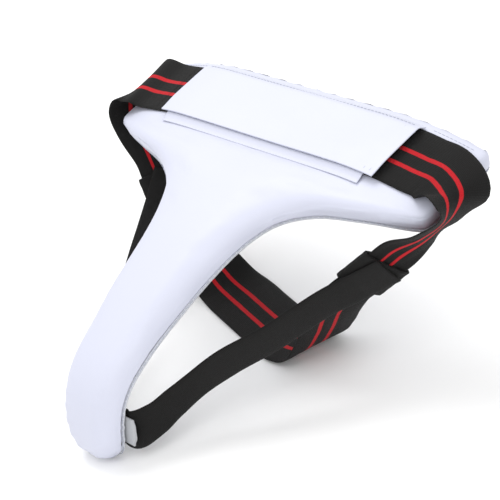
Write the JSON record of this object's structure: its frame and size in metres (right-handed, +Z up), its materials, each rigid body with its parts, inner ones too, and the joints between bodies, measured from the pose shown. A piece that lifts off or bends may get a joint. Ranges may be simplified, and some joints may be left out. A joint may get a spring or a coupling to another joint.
{
  "type": "groin protector",
  "caption": "Padded T-shaped groin guard with a waistband under a front flap and leg straps that slide on the waistband",
  "frame": {"origin": "on the surface that the part stands on, under the middle of its bounding box", "axes": "+Z up; +Y towards the waist edge and -Y towards the crotch end; +X towards the panel's right end seen from its front"},
  "size_m": [0.3398, 0.2642, 0.1551],
  "materials": {
    "white_leather": "smooth coated leather, soft gloss",
    "lining_leather": "smooth coated leather, satin",
    "black_webbing": "woven elastic webbing with two red lines along it",
    "dense_foam": "closed-cell foam board",
    "soft_foam": "open-cell foam",
    "white_tape": "hook-and-loop tape",
    "grey_tab": "tightly woven cloth",
    "black_thread": "sewing thread"
  },
  "bodies": {
    "panel": {"front_cover": "white_leather", "impact_foam_core": "dense_foam", "comfort_foam": "soft_foam", "back_lining": "lining_leather", "tunnel_strip": "white_leather", "loop_tape": "white_tape", "waistband": "black_webbing", "crotch_tab": "grey_tab", "leg_strap_right": "black_webbing", "leg_strap_left": "black_webbing", "tab_stitch_right": "black_thread", "tab_stitch_left": "black_thread"},
    "flap": {"waist_flap": "white_leather", "flap_lining": "lining_leather", "hook_tape": "white_tape"},
    "loop_right": {"strap_loop_right": "black_webbing", "loop_stitch_right": "black_thread"},
    "loop_left": {"strap_loop_left": "black_webbing", "loop_stitch_left": "black_thread"}
  },
  "joints": [
    {"name": "flap_hinge", "type": "hinge", "parent": "panel", "child": "flap", "pos_m": [0, 0.12198, 0.15063], "axis": [-1, 0, 0], "range_deg": [0, 165]},
    {"name": "loop_right_slide", "type": "slide", "parent": "panel", "child": "loop_right", "axis": [-0.699, -0.4194, -0.5792], "range_m": [-0.007, 0.01]},
    {"name": "loop_left_slide", "type": "slide", "parent": "panel", "child": "loop_left", "axis": [-0.5875, 0.2589, 0.7667], "range_m": [-0.01, 0.01]}
  ]
}
